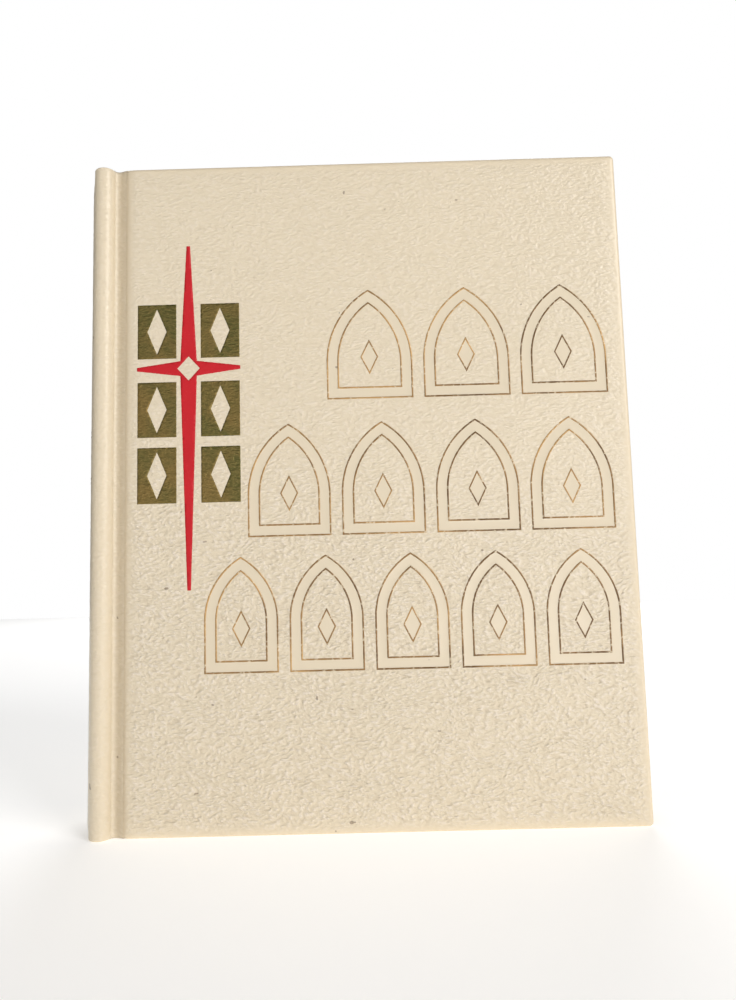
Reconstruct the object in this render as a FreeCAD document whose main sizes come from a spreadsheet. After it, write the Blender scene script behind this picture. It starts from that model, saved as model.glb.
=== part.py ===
"""A large hardcover Bible, standing on its tail edge, as a parametric FreeCAD document.

+Z runs up the height of the book, the spine is at -X and the front cover faces -Y.  The
origin is at the middle of the footprint, on the surface that the book stands on.  "Depth"
is the distance from the middle of the book's thickness towards either cover.
"""

import FreeCAD, Part
import math
import os

import Sketcher
from FreeCAD import Placement, Rotation, Vector

DIMENSIONS = {
    # case: covers, joint and rounded spine
    "total_width": 245.5,
    "cover_width": 225.0,
    "cover_height": 298.0,
    "back_radius": 61.5,
    "shoulder_radius": 4.7,
    "shoulder_depth": 25.5,
    "shoulder_sweep": 5.0,
    "skin_thick": 0.6,
    "board_thick": 3.0,
    "turn_in_width": 15.0,
    "turn_in_thick": 0.3,
    "outer_round": 1.2,
    "inner_round": 0.7,
    "corner_round": 1.2,
    "square": 4.0,
    # text block
    "block_half": 22.4,
    "fold_depth": 28.4,
    "knee_inset": 2.0,
    "fold_bulge": 0.3,
    "thread_space": 0.75,
    "mull_thick": 0.3,
    "lining_thick": 0.3,
    "hollow_gap": 0.4,
    "card_thick": 1.2,
    "card_half_angle": 22.0,
    "flange_width": 25.0,
    "band_height": 2.6,
    "band_thick": 2.2,
    "band_half_angle": 24.0,
    "thread_thick": 0.35,
    "thread_height": 0.7,
    # endpapers and turning leaves
    "paper_thick": 0.15,
    "leaf_pitch": 0.3,
    "leaf_inset": 0.7,
    "leaf_space": 1.35,
    # foil stamping on the front cover
    "foil_thick": 0.1,
    "cross_inset": 29.0,
    "cross_height": 203.0,
    "cross_up": 57.0,
    "cross_down": 99.0,
    "cross_arm": 23.2,
    "cross_tip": 0.8,
    "cross_waist": 3.7,
    "arm_waist": 3.4,
    "lozenge_wide": 10.0,
    "lozenge_high": 11.0,
    "tile_wide": 17.4,
    "tile_high": 25.0,
    "tile_gap": 11.0,
    "cutout_wide": 8.6,
    "cutout_high": 21.0,
    "row_margin": 9.0,
    "arch_high": 50.0,
    "arch_gap": 5.0,
    "arch_stem": 5.4,
    "boss_height": 19.0,
    "boss_wide": 8.0,
    "boss_high": 16.0,
    "hairline": 0.6,
}
SIGNATURES = 16
FRONT_LEAVES = 4
BACK_LEAVES = 3
THREAD_STATIONS = 10
FRONT, BACK = -1, 1
PAPER_RISE = 1.8
JOINT_GAP = 0.1
GROOVE_FLAT = 1.2
# keeps a lozenge's line even when it is twice as tall as wide
BOSS_SLANT = 2.0
TILE_ROWS = (220.2, 184.4, 154.8)
# number of arches, overall width and base height of each row
ARCH_ROWS = ((3, 125.0, 187.0), (4, 161.0, 126.5), (5, 180.5, 68.0))

doc = FreeCAD.newDocument("bible")
sheet = doc.addObject("Spreadsheet::Sheet", "Dims")
for row_number, (alias, value) in enumerate(DIMENSIONS.items(), start=1):
    sheet.set(f"A{row_number}", alias)
    sheet.set(f"B{row_number}", str(value))
    sheet.setAlias(f"B{row_number}", alias)
doc.recompute()

parts = []


def dim(alias):
    """The value of one cell of the sheet."""
    return float(sheet.get(alias))


def keep(feature, label):
    """Marks a finished feature as the sub-part of that name."""
    feature.Label = label
    parts.append(feature)
    return feature


# Places worked out from the driving dimensions, as expressions for the document ...
HINGE_EDGE_X = "(Dims.total_width / 2 - Dims.cover_width)"
BACK_CENTRE_X = "(Dims.back_radius - Dims.total_width / 2)"
PASTEDOWN_DEPTH = "(Dims.block_half + Dims.leaf_space)"
TURN_IN_DEPTH = f"({PASTEDOWN_DEPTH} + Dims.paper_thick)"
BOARD_DEPTH = f"({TURN_IN_DEPTH} + Dims.turn_in_thick)"
COVER_THICK = "(Dims.turn_in_thick + Dims.board_thick + Dims.skin_thick)"
PAGE_HEIGHT = "(Dims.cover_height - 2 * Dims.square)"
LEAF_X = f"({HINGE_EDGE_X} - Dims.leaf_inset)"
# ... and as numbers for the drawn outlines
fore_x = dim("total_width") / 2
hinge_edge_x = fore_x - dim("cover_width")
back_centre_x = dim("back_radius") - fore_x
knee_x = hinge_edge_x - dim("knee_inset")
cover_face = (
    dim("block_half") + dim("leaf_space") + dim("paper_thick")
    + dim("turn_in_thick") + dim("board_thick") + dim("skin_thick")
)
shoulder_lean = math.degrees(
    math.asin(dim("shoulder_depth") / (dim("back_radius") - dim("shoulder_radius")))
)


# ---------------------------------------------------------------- flat sheets and boards
def plate_sketch(body, side, x, z, depth, width, height):
    """A rectangle parallel to the covers, its sizes and place bound to expressions."""
    sketch = body.newObject("Sketcher::SketchObject", "Outline")
    plane = [f for f in body.Origin.OriginFeatures if f.Role == "XZ_Plane"][0]
    sketch.AttachmentSupport = [(plane, "")]
    sketch.MapMode = "FlatFace"
    corners = [Vector(0, 0), Vector(50, 0), Vector(50, 80), Vector(0, 80)]
    for start, end in zip(corners, corners[1:] + corners[:1]):
        sketch.addGeometry(Part.LineSegment(start, end))
    for line in range(4):
        sketch.addConstraint(Sketcher.Constraint("Coincident", line, 2, (line + 1) % 4, 1))
    for line, direction in enumerate(("Horizontal", "Vertical", "Horizontal", "Vertical")):
        sketch.addConstraint(Sketcher.Constraint(direction, line))
    sketch.addConstraint(Sketcher.Constraint("Coincident", 0, 1, -1, 1))
    across = sketch.addConstraint(Sketcher.Constraint("DistanceX", 0, 1, 0, 2, 50))
    up = sketch.addConstraint(Sketcher.Constraint("DistanceY", 1, 1, 1, 2, 80))
    sketch.setExpression(f"Constraints[{across}]", width)
    sketch.setExpression(f"Constraints[{up}]", height)
    # the XZ plane's normal points to -Y, so the front side has a positive offset
    sketch.setExpression("AttachmentOffset.Base.x", x)
    sketch.setExpression("AttachmentOffset.Base.y", z)
    sketch.setExpression("AttachmentOffset.Base.z", f"{-side} * {depth}")
    return sketch


def plate_body(label, side, x, z, depth, width, height, thickness):
    """A flat sheet on one side of the book, from a depth outwards by its thickness."""
    body = doc.addObject("PartDesign::Body", "Body_" + label)
    sketch = plate_sketch(body, side, x, z, depth, width, height)
    pad = body.newObject("PartDesign::Pad", "Sheet")
    pad.Profile = sketch
    pad.setExpression("Length", thickness)
    pad.Reversed = side == BACK
    return body


def plate(label, *measures):
    return keep(plate_body(label, *measures), label)


def pocket(body, side, x, z, depth, width, height, thickness):
    """Cuts a rectangular hollow from a depth outwards, and checks that it cut."""
    doc.recompute()
    before = body.Shape.Volume
    sketch = plate_sketch(body, side, x, z, depth, width, height)
    cut = body.newObject("PartDesign::Pocket", "Hollow")
    cut.Profile = sketch
    cut.setExpression("Length", thickness)
    cut.Reversed = side == FRONT
    body.Tip = cut
    doc.recompute()
    if not body.Shape.Volume < before - 1:
        raise RuntimeError(f"{body.Name}: the pocket cut nothing")


def round_edges(body, chosen, radius_alias):
    """Rounds the edges of the body that chosen() picks."""
    doc.recompute()
    base = body.Tip
    names = [f"Edge{i}" for i, edge in enumerate(base.Shape.Edges, start=1) if chosen(edge)]
    fillet = body.newObject("PartDesign::Fillet", "Round")
    fillet.Base = (base, names)
    fillet.setExpression("Radius", f"Dims.{radius_alias}")
    body.Tip = fillet
    doc.recompute()


def lies_at_depth(edge, side, depth):
    return all(abs(side * v.Point.y - depth) < 0.01 for v in edge.Vertexes)


def cover(name, side):
    """One cover: its board, the skin wrapped round it, the gauze flange and the pastedown."""
    plate(f"{name}_board", side, f"{HINGE_EDGE_X} + Dims.skin_thick", "Dims.skin_thick",
          BOARD_DEPTH, "Dims.cover_width - 2 * Dims.skin_thick",
          "Dims.cover_height - 2 * Dims.skin_thick", "Dims.board_thick")

    skin = plate_body(f"{name}_cover_skin", side, HINGE_EDGE_X, "0 * Dims.square",
                      TURN_IN_DEPTH, "Dims.cover_width", "Dims.cover_height", COVER_THICK)
    round_edges(skin, lambda e: len(e.Vertexes) == 2
                and abs(e.Vertexes[0].Point.y - e.Vertexes[1].Point.y) > 1, "corner_round")
    round_edges(skin, lambda e: lies_at_depth(e, side, cover_face), "outer_round")
    inner_face = cover_face - dim("skin_thick") - dim("board_thick") - dim("turn_in_thick")
    round_edges(skin, lambda e: lies_at_depth(e, side, inner_face)
                and e.BoundBox.XMax > hinge_edge_x + 1, "inner_round")
    pocket(skin, side, f"{HINGE_EDGE_X} + Dims.skin_thick", "Dims.skin_thick", BOARD_DEPTH,
           "Dims.cover_width - 2 * Dims.skin_thick", "Dims.cover_height - 2 * Dims.skin_thick",
           "Dims.board_thick")
    pocket(skin, side, f"{HINGE_EDGE_X} + Dims.skin_thick", "Dims.turn_in_width", TURN_IN_DEPTH,
           "Dims.cover_width - Dims.skin_thick - Dims.turn_in_width",
           "Dims.cover_height - 2 * Dims.turn_in_width", "Dims.turn_in_thick")
    keep(skin, f"{name}_cover_skin")

    plate(f"{name}_mull_flange", side, f"{HINGE_EDGE_X} + Dims.skin_thick + Dims.paper_thick",
          "Dims.turn_in_width + Dims.paper_thick", TURN_IN_DEPTH, "Dims.flange_width",
          "Dims.cover_height - 2 * Dims.turn_in_width - 2 * Dims.paper_thick",
          "Dims.turn_in_thick")
    plate(f"{name}_pastedown", side, f"{HINGE_EDGE_X} + Dims.paper_thick", "Dims.square",
          PASTEDOWN_DEPTH, "Dims.cover_width - Dims.square - Dims.paper_thick", PAGE_HEIGHT,
          "Dims.paper_thick")


def leaves(prefix, side, count):
    """Single leaves next to the cover; the outermost is the flyleaf."""
    for number in range(1, count + 1):
        label = f"{prefix}_flyleaf" if number == count else f"{prefix}_leaf_{number}"
        layer = number + FRONT_LEAVES - count
        plate(label, side, LEAF_X, "Dims.square",
              f"(Dims.block_half + {layer} * Dims.leaf_pitch - Dims.paper_thick)",
              "Dims.cover_width - Dims.square + Dims.leaf_inset", PAGE_HEIGHT,
              "Dims.paper_thick")


# ------------------------------------------------------------------ curved bands of the spine
def band(label, centre, radius, thickness, start, sweep, z, height):
    """A curved strip: a sector of a tube standing on end."""
    outer = doc.addObject("Part::Cylinder", "Outer_" + label)
    inner = doc.addObject("Part::Cylinder", "Inner_" + label)
    outer.setExpression("Radius", radius)
    outer.setExpression("Angle", sweep)
    inner.setExpression("Radius", f"{radius} - {thickness}")
    outer.Placement = Placement(Vector(0, 0, 0), Rotation(Vector(0, 0, 1), start))
    for cylinder in (outer, inner):
        cylinder.setExpression("Height", height)
        cylinder.setExpression("Placement.Base.x", centre[0])
        cylinder.setExpression("Placement.Base.y", centre[1])
        cylinder.setExpression("Placement.Base.z", z)
    cut = doc.addObject("Part::Cut", "Band_" + label)
    cut.Base = outer
    cut.Tool = inner
    return cut


def back_band(label, inset, thickness, half_angle, z, height):
    """A band concentric with the rounded back, its outside inset from the skin's outside."""
    return band(label, (BACK_CENTRE_X, "0 * Dims.square"), f"(Dims.back_radius - {inset})",
                thickness, 180 - dim(half_angle), f"2 * Dims.{half_angle}", z, height)


def fused(label, pieces):
    fuse = doc.addObject("Part::MultiFuse", "Fuse_" + label)
    fuse.Shapes = pieces
    return fuse


def spine_skin():
    """The case's skin over the back, with the raised shoulder along each joint."""
    lean = "asin(Dims.shoulder_depth / (Dims.back_radius - Dims.shoulder_radius))"
    reach = "(Dims.back_radius - Dims.shoulder_radius)"
    shoulder_x = f"({BACK_CENTRE_X} - {reach} * cos({lean}))"
    nothing = "0 * Dims.square"
    back = band("back", (BACK_CENTRE_X, nothing), "Dims.back_radius", "Dims.skin_thick",
                180 - shoulder_lean, f"2 * {lean}", nothing, "Dims.cover_height")
    sweep = f"180 deg - {lean} - Dims.shoulder_sweep * 1 deg"
    front = band("front_shoulder", (shoulder_x, "-Dims.shoulder_depth"), "Dims.shoulder_radius",
                 "Dims.skin_thick", 180 + shoulder_lean, sweep, nothing, "Dims.cover_height")
    rear = band("back_shoulder", (shoulder_x, "Dims.shoulder_depth"), "Dims.shoulder_radius",
                "Dims.skin_thick", dim("shoulder_sweep"), sweep, nothing, "Dims.cover_height")
    keep(fused("spine_skin", [back, front, rear]), "spine_skin")


def spine_layers():
    """What lies between the case's skin and the folds of the signatures."""
    card_inset = "Dims.skin_thick"
    lining_inset = f"({card_inset} + Dims.card_thick + Dims.hollow_gap)"
    mull_inset = f"({lining_inset} + Dims.lining_thick)"
    thread_inset = f"({mull_inset} + Dims.mull_thick)"
    keep(back_band("spine_card", card_inset, "Dims.card_thick", "card_half_angle",
                   "Dims.skin_thick", "Dims.cover_height - 2 * Dims.skin_thick"), "spine_card")
    keep(back_band("spine_lining", lining_inset, "Dims.lining_thick", "card_half_angle",
                   "2 * Dims.square", "Dims.cover_height - 4 * Dims.square"), "spine_lining")
    keep(back_band("mull_spine", mull_inset, "Dims.mull_thick", "band_half_angle",
                   "3 * Dims.square", "Dims.cover_height - 6 * Dims.square"), "mull_spine")
    threads = []
    for station in range(1, THREAD_STATIONS + 1):
        height = f"Dims.square + {station} * {PAGE_HEIGHT} / {THREAD_STATIONS + 1}"
        threads.append(back_band(f"thread_{station}", thread_inset, "Dims.thread_thick",
                                 "band_half_angle", height, "Dims.thread_height"))
    keep(fused("sewing_threads", threads), "sewing_threads")
    keep(back_band("head_band", thread_inset, "Dims.band_thick", "band_half_angle",
                   "Dims.cover_height - Dims.square", "Dims.band_height"), "head_band")
    keep(back_band("tail_band", thread_inset, "Dims.band_thick", "band_half_angle",
                   "Dims.square - Dims.band_height", "Dims.band_height"), "tail_band")


# ------------------------------------------------------------------------- drawn outlines
def draw(sketch, outline):
    """Adds a closed outline: an entry is a corner, or (corner, point on the arc to the next)."""
    corners = [entry if isinstance(entry, Vector) else entry[0] for entry in outline]
    for entry, end in zip(outline, corners[1:] + corners[:1]):
        if isinstance(entry, Vector):
            sketch.addGeometry(Part.LineSegment(entry, end))
        else:
            sketch.addGeometry(Part.Arc(entry[0], entry[1], end))


def prism(label, outline, z, height):
    """A solid standing on end, with its outline drawn in plan."""
    body = doc.addObject("PartDesign::Body", "Body_" + label)
    sketch = body.newObject("Sketcher::SketchObject", "Outline")
    plane = [f for f in body.Origin.OriginFeatures if f.Role == "XY_Plane"][0]
    sketch.AttachmentSupport = [(plane, "")]
    sketch.MapMode = "FlatFace"
    sketch.setExpression("AttachmentOffset.Base.z", z)
    draw(sketch, outline)
    pad = body.newObject("PartDesign::Pad", "Height")
    pad.Profile = sketch
    pad.setExpression("Length", height)
    return keep(body, label)


def strip(label, side, inner_line, thickness, z, height):
    """A thin bent strip, drawn as a line of (x, depth) points and thickened outwards."""
    near = [Vector(x, side * depth, 0) for x, depth in inner_line]
    far = [Vector(x, side * (depth + thickness), 0) for x, depth in reversed(inner_line)]
    prism(label, near + far, z, height)


def joint(name, side):
    """The flexible pieces in the groove between the cover and the shoulder."""
    paper = dim("paper_thick")
    hinge_depth = dim("block_half") + dim("leaf_space")
    slope = (dim("fold_depth") - dim("block_half")) / (knee_x - fold_point(1.0).x)
    bend_x = knee_x - (hinge_depth - dim("block_half")) / slope + paper
    end_x = bend_x - PAPER_RISE / slope
    strip(f"{name}_endpaper_hinge", side,
          [(hinge_edge_x, hinge_depth), (bend_x, hinge_depth), (end_x, hinge_depth + PAPER_RISE)],
          paper, "Dims.square", PAGE_HEIGHT)
    lean = math.radians(dim("shoulder_sweep"))
    shoulder_x = back_centre_x - (
        (dim("back_radius") - dim("shoulder_radius")) * math.cos(math.radians(shoulder_lean))
    )
    lip_x = shoulder_x + dim("shoulder_radius") * math.cos(lean)
    lip_depth = dim("shoulder_depth") + dim("shoulder_radius") * math.sin(lean)
    floor_depth = hinge_depth + 2 * paper + JOINT_GAP
    strip(f"{name}_joint_skin", side,
          [(lip_x, lip_depth), (bend_x, floor_depth), (hinge_edge_x - GROOVE_FLAT, floor_depth),
           (hinge_edge_x, floor_depth + dim("skin_thick"))],
          dim("skin_thick"), "0 * Dims.square", "Dims.cover_height")


# --------------------------------------------------------------------------- the text block
def fold_point(share):
    """The place on the rounded back of the folds, from -1 at the front to 1 at the back."""
    radius = dim("back_radius") - (
        dim("skin_thick") + dim("card_thick") + dim("hollow_gap")
        + dim("lining_thick") + dim("mull_thick") + dim("thread_space")
    )
    half_angle = math.asin(dim("fold_depth") / radius)
    angle = share * half_angle
    return Vector(back_centre_x - radius * math.cos(angle), radius * math.sin(angle), 0)


def signature(number):
    """One folded gathering: flat pages, fanned out to its place on the rounded back."""
    shares = [2 * (number - 1) / SIGNATURES - 1, 2 * number / SIGNATURES - 1]
    folds = [fold_point(share) for share in shares]
    knees = [Vector(knee_x, share * dim("block_half"), 0) for share in shares]
    outermost = fold_point(1.0).distanceToPoint(Vector(knee_x, dim("block_half"), 0))
    edges = []
    for fold, knee in zip(folds, knees):
        shorter = fold.distanceToPoint(knee) - outermost
        edges.append(Vector(fore_x - dim("square") - shorter, knee.y, 0))
    crown = (folds[0] + folds[1]) * 0.5 - Vector(dim("fold_bulge"), 0, 0)
    outline = [edges[0], edges[1], knees[1], (folds[1], crown), folds[0], knees[0]]
    prism(f"signature_{number:02d}", outline, "Dims.square", PAGE_HEIGHT)


# ------------------------------------------------------------------------------ foil stamps
def stamp(label, outlines):
    """Foil on the front cover: closed outlines drawn in (x, height), holes inside shapes."""
    sketch = doc.addObject("Sketcher::SketchObject", "Sketch_" + label)
    sketch.Placement = Placement(
        Vector(0, FRONT * cover_face, 0), Rotation(Vector(1, 0, 0), 90)
    )
    for outline in outlines:
        draw(sketch, outline)
    foil = doc.addObject("Part::Extrusion", "Foil_" + label)
    foil.Base = sketch
    foil.DirMode = "Custom"
    foil.Dir = Vector(0, FRONT, 0)
    foil.Solid = True
    foil.FaceMakerClass = "Part::FaceMakerBullseye"
    foil.setExpression("LengthFwd", "Dims.foil_thick")
    keep(foil, label)


def lozenge(x, z, half_wide, half_high):
    return [Vector(x - half_wide, z), Vector(x, z - half_high),
            Vector(x + half_wide, z), Vector(x, z + half_high)]


def cross_stamp():
    """A slender cross: its limbs widen from blunt tips to a hollow lozenge at the crossing."""
    centre = Vector(hinge_edge_x + dim("cross_inset"), dim("cross_height"))
    tip = dim("cross_tip")
    # anticlockwise from the right limb: direction, length and half-width at the crossing
    limbs = ((Vector(1, 0), dim("cross_arm"), dim("arm_waist")),
             (Vector(0, 1), dim("cross_up"), dim("cross_waist")),
             (Vector(-1, 0), dim("cross_arm"), dim("arm_waist")),
             (Vector(0, -1), dim("cross_down"), dim("cross_waist")))
    outline = []
    for (along, length, half), (aside, _, next_half) in zip(limbs, limbs[1:] + limbs[:1]):
        end = centre + along * length
        outline += [end - aside * tip, end + aside * tip,
                    centre + along * next_half + aside * half]
    hole = lozenge(centre.x, centre.y, dim("lozenge_wide") / 2, dim("lozenge_high") / 2)
    stamp("cross_stamp", [outline, hole])


def tile_stamps():
    """Two columns of foil tiles beside the cross, each with a tall lozenge cut out."""
    cross_x = hinge_edge_x + dim("cross_inset")
    wide, high = dim("tile_wide"), dim("tile_high")
    outlines = []
    for z in TILE_ROWS:
        for way in (-1, 1):
            x = cross_x + way * (dim("tile_gap") + wide) / 2
            outlines.append([Vector(x - wide / 2, z - high / 2), Vector(x + wide / 2, z - high / 2),
                             Vector(x + wide / 2, z + high / 2), Vector(x - wide / 2, z + high / 2)])
            outlines.append(lozenge(x, z, dim("cutout_wide") / 2, dim("cutout_high") / 2))
    stamp("tile_stamps", outlines)


def lancet(left, right, base, top, inset):
    """A pointed arch standing on a sill, drawn at a distance inside its outermost outline."""
    half = (right - left) / 2
    middle = left + half
    radius = 2 * half
    spring = top - math.sqrt(radius ** 2 - half ** 2)
    reach = radius - inset
    rise = math.sqrt(reach ** 2 - half ** 2)
    apex = Vector(middle, spring + rise)
    turn = math.atan2(rise, half) / 2
    bulge = Vector(reach * math.cos(turn), reach * math.sin(turn))
    right_arc = Vector(right - radius + bulge.x, spring + bulge.y)
    left_arc = Vector(left + radius - bulge.x, spring + bulge.y)
    return [Vector(left + inset, base + inset), Vector(right - inset, base + inset),
            (Vector(right - inset, spring), right_arc), (apex, left_arc),
            Vector(left + inset, spring)]


def ornament_stamps():
    """Hairlines of three rows of pointed arches: two lines and a small lozenge in each."""
    line = dim("hairline")
    end_x = fore_x - dim("row_margin")
    outlines = []
    for count, row_width, base in ARCH_ROWS:
        pitch = (row_width + dim("arch_gap")) / count
        for place in range(count):
            right = end_x - place * pitch
            left = right - pitch + dim("arch_gap")
            top = base + dim("arch_high")
            for inset in (0, line, dim("arch_stem") - line, dim("arch_stem")):
                outlines.append(lancet(left, right, base, top, inset))
            for shrink in (0, line):
                outlines.append(lozenge((left + right) / 2, base + dim("boss_height"),
                                        dim("boss_wide") / 2 - shrink,
                                        dim("boss_high") / 2 - BOSS_SLANT * shrink))
    stamp("ornament_stamps", outlines)


# ---------------------------------------------------------------------------- the whole book
for cover_name, cover_side in (("front", FRONT), ("back", BACK)):
    cover(cover_name, cover_side)
    joint(cover_name, cover_side)
leaves("front", FRONT, FRONT_LEAVES)
leaves("back", BACK, BACK_LEAVES)
spine_skin()
spine_layers()
for signature_number in range(1, SIGNATURES + 1):
    signature(signature_number)
cross_stamp()
tile_stamps()
ornament_stamps()
doc.recompute()

for feature in doc.Objects:
    if "Invalid" in feature.State or "Error" in feature.State:
        raise RuntimeError(f"{feature.Label}: {feature.State}")
os.makedirs("parts", exist_ok=True)
for feature in parts:
    if feature.Shape.isNull() or not feature.Shape.isValid():
        raise RuntimeError(f"{feature.Label}: no valid shape")
    feature.Shape.exportStep(f"parts/{feature.Label}.step")
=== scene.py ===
"""Looks for the family Bible: leatherette case, foil stamps, gilt text block, leaves and bands."""

import math
import random

import bmesh
import bpy
import numpy as np
from mathutils import Matrix, Vector
from mathutils.bvhtree import BVHTree
from mathutils.geometry import delaunay_2d_cdt


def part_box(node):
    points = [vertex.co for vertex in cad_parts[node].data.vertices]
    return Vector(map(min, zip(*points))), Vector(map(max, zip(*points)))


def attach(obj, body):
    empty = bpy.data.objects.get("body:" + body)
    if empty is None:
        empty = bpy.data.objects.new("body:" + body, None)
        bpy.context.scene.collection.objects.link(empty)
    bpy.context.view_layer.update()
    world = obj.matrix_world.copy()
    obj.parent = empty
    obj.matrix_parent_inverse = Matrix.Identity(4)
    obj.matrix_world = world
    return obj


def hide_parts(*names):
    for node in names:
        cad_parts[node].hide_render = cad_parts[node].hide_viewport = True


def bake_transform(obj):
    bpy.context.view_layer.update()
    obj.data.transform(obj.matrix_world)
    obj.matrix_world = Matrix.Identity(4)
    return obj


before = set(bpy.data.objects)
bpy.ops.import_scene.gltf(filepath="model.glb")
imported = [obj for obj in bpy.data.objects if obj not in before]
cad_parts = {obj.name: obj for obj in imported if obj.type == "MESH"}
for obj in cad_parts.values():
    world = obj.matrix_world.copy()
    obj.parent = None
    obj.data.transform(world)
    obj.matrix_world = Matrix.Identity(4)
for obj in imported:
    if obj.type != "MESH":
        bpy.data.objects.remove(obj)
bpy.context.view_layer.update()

MM = 0.001
FRONT, BACK = -1, 1

# ------------------------------------------------------------------ sizes read from the frame
skin_low, skin_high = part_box("front_cover_skin")
spine_low, spine_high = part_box("spine_skin")
page_low, page_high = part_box("front_flyleaf")
pastedown_low, pastedown_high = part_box("front_pastedown")
HINGE_X, FORE_X = skin_low.x, skin_high.x
COVER_FACE, COVER_INSIDE = -skin_low.y, -skin_high.y
HEAD_Z = skin_high.z

# the rounded back and the shoulders, as the design draws them
BACK_RADIUS = 61.5 * MM
SHOULDER_RADIUS = 4.7 * MM
SHOULDER_SWEEP = math.radians(5)
SHELL_THICK = 1.8 * MM
BACK_CENTRE_X = spine_low.x + BACK_RADIUS
SHOULDER_DEPTH = spine_high.y - SHOULDER_RADIUS
SHOULDER_LEAN = math.asin(SHOULDER_DEPTH / (BACK_RADIUS - SHOULDER_RADIUS))
SHOULDER_X = BACK_CENTRE_X - (BACK_RADIUS - SHOULDER_RADIUS) * math.cos(SHOULDER_LEAN)


# -------------------------------------------------------------------------------- mesh tools
def lattice_noise(u, v, seed):
    """Smooth noise from -1 to 1 on numpy arrays of plan coordinates."""
    table = np.random.default_rng(seed).random((256, 256)) * 2 - 1
    iu, iv = np.floor(u).astype(int), np.floor(v).astype(int)
    fu, fv = u - iu, v - iv
    fu, fv = fu * fu * (3 - 2 * fu), fv * fv * (3 - 2 * fv)
    a, b = table[iu % 256, iv % 256], table[(iu + 1) % 256, iv % 256]
    c, d = table[iu % 256, (iv + 1) % 256], table[(iu + 1) % 256, (iv + 1) % 256]
    return (a * (1 - fu) + b * fu) * (1 - fv) + (c * (1 - fu) + d * fu) * fv


def smoothstep(low, high, value):
    share = np.clip((value - low) / (high - low), 0, 1)
    return share * share * (3 - 2 * share)


def creases(across, up, seed):
    """Height of the leatherette's creases in metres: soft wrinkles that wander aslant."""
    warp_x = 3.0 * MM * lattice_noise(across / (13 * MM), up / (13 * MM), seed)
    warp_z = 3.0 * MM * lattice_noise(across / (13 * MM), up / (13 * MM), seed + 4)
    turn = math.radians(35)
    along = (across + warp_x) * math.cos(turn) + (up + warp_z) * math.sin(turn)
    over = -(across + warp_x) * math.sin(turn) + (up + warp_z) * math.cos(turn)
    long = 1 - 2 * np.abs(lattice_noise(along / (5.5 * MM), over / (2.3 * MM), seed + 1))
    small = lattice_noise(along / (3.1 * MM), over / (2.0 * MM), seed + 5)
    return MM * (0.050 * long + 0.022 * small)


def swell(across, up, seed):
    """The broad unevenness of board and glue under the leatherette, in metres."""
    return MM * (0.10 * lattice_noise(across / (45 * MM), up / (60 * MM), seed + 3)
                 + 0.025 * lattice_noise(across / (10 * MM), up / (9 * MM), seed + 2))


def make_object(name, vertices, faces, materials, smooth=True, indices=None):
    mesh = bpy.data.meshes.new(name)
    mesh.from_pydata([tuple(v) for v in vertices], [], faces)
    for material in materials:
        mesh.materials.append(material)
    if indices is not None:
        mesh.polygons.foreach_set("material_index", indices)
    mesh.polygons.foreach_set("use_smooth", [smooth] * len(mesh.polygons))
    mesh.update()
    mesh.validate()
    piece = bpy.data.objects.new(name, mesh)
    bpy.context.scene.collection.objects.link(piece)
    return piece


def set_attribute(piece, name, values):
    attribute = piece.data.attributes.new(name, "FLOAT", "POINT")
    attribute.data.foreach_set("value", np.asarray(values, np.float32))


def outward(piece):
    """Makes every face of a closed mesh point outwards."""
    work = bmesh.new()
    work.from_mesh(piece.data)
    bmesh.ops.remove_doubles(work, verts=work.verts, dist=0.002 * MM)
    bmesh.ops.dissolve_degenerate(work, edges=work.edges, dist=0.0005 * MM)
    bmesh.ops.recalc_face_normals(work, faces=work.faces)
    work.to_mesh(piece.data)
    work.free()
    piece.data.update()
    return piece


def grid_faces(rows, columns, offset=0):
    """Quads of a rows by columns sheet of vertices."""
    faces = []
    for row in range(rows - 1):
        below, above = offset + row * columns, offset + (row + 1) * columns
        for column in range(columns - 1):
            faces.append((below + column, below + column + 1, above + column + 1, above + column))
    return faces


def rim_pairs(rows, columns):
    """Neighbouring vertices round the border of such a sheet, in order."""
    index = np.arange(rows * columns).reshape(rows, columns)
    rim = np.concatenate([index[0, :-1], index[:-1, -1], index[-1, :0:-1], index[:0:-1, 0]])
    return [(int(a), int(b)) for a, b in zip(rim, np.roll(rim, -1))]


def slab(x, z, side, depths):
    """Vertices, sheet faces and edge faces of a closed sheet between two arrays of depths."""
    vertices = np.concatenate([np.stack([x.ravel(), side * depth.ravel(), z.ravel()], 1)
                               for depth in depths])
    sheets = grid_faces(*x.shape)
    sheets += [tuple(reversed(face)) for face in grid_faces(*x.shape, offset=x.size)]
    edges = [(b, a, a + x.size, b + x.size) for a, b in rim_pairs(*x.shape)]
    return vertices, sheets, edges


def film_faces(faces, count):
    """Faces of a closed film: a patch, the same patch count vertices on, and its border."""
    used = {(a, b): True for face in faces for a, b in zip(face, face[1:] + face[:1])}
    whole = faces + [tuple(i + count for i in reversed(face)) for face in faces]
    return whole + [(b, a, a + count, b + count) for a, b in used if (b, a) not in used]


def folded(outer, inner):
    """Closed rows of vertices: along the outer sheet, back along the inner one, to the start."""
    loop = np.concatenate([outer, inner[:, ::-1]], 1)
    return np.concatenate([loop, loop[:, :1]], 1)


# --------------------------------------------------------------------------------- materials
def add(nodes, kind, **settings):
    """A new node, with its input sockets and its own properties set by name."""
    node = nodes.new(kind)
    for key, value in settings.items():
        if key in node.inputs:
            node.inputs[key].default_value = value
        else:
            setattr(node, key, value)
    return node


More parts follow.
